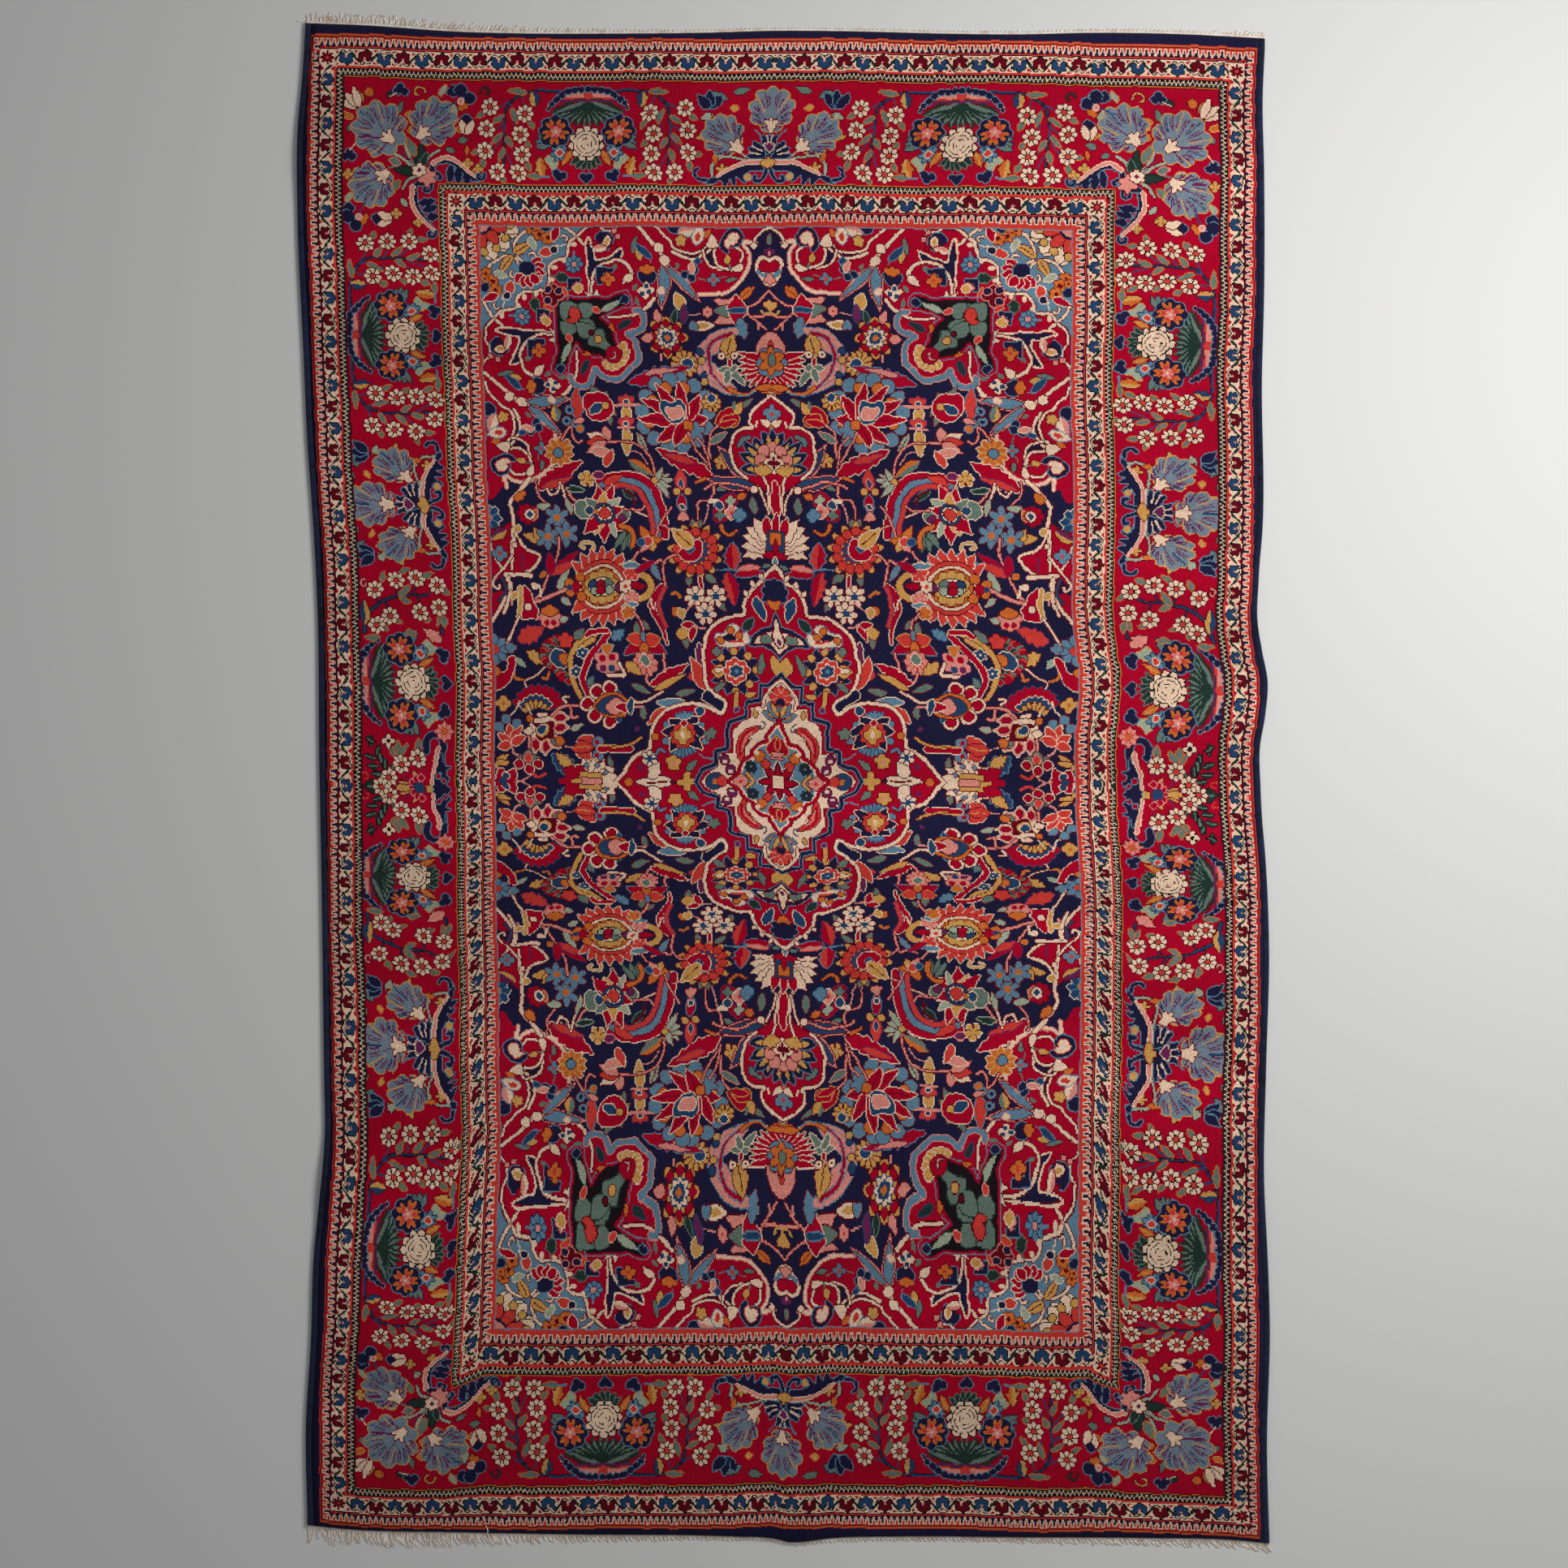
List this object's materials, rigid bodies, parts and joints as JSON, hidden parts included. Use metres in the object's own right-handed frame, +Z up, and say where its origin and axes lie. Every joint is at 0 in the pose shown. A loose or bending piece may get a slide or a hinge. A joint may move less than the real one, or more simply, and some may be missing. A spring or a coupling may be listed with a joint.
{
  "type": "persian rug",
  "caption": "Hand-knotted persian rug lying flat: patterned wool pile, bound side edges, short cotton fringe at both ends.",
  "frame": {"origin": "middle of the rug's outline, on the floor plane under it", "axes": "+Y along the rug's length, +X across it, +Z up out of the pile"},
  "size_m": [1.3767, 2.173, 0.0132],
  "materials": {
    "wool_pile": "short knotted wool pile, soft sheen, matt",
    "selvedge_wool": "navy wool bound over side cords, matt",
    "warp_cotton": "undyed twisted cotton, matt"
  },
  "bodies": {
    "root": {"rug_body": "wool_pile", "selvedge_left": "selvedge_wool", "selvedge_right": "selvedge_wool", "fringe_top": "warp_cotton", "fringe_bottom": "warp_cotton"}
  },
  "joints": []
}
